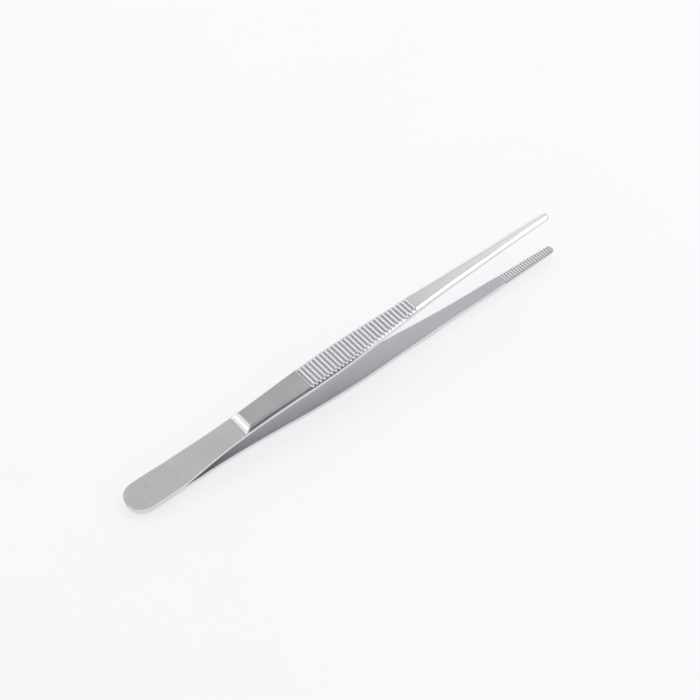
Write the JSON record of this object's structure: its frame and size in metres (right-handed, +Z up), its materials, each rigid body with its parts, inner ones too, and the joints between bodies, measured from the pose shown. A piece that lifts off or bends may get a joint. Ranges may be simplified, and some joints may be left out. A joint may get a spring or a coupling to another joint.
{
  "type": "thumb forceps",
  "caption": "Thumb forceps: slim sprung steel arms welded flat together at the tail, with ribbed finger grips and tapering jaws with fine cross teeth.",
  "frame": {"origin": "middle of the part's footprint, on the surface that it lies on", "axes": "+X from the welded tail to the tips, +Y across the arms, +Z up. The part lies on the ribs of the lower arm's handle, with the arms one above the other"},
  "size_m": [0.2004, 0.015, 0.0234],
  "materials": {
    "satin_steel": "satin"
  },
  "bodies": {
    "root": {"upper_arm": "satin_steel", "lower_arm": "satin_steel"}
  },
  "joints": []
}
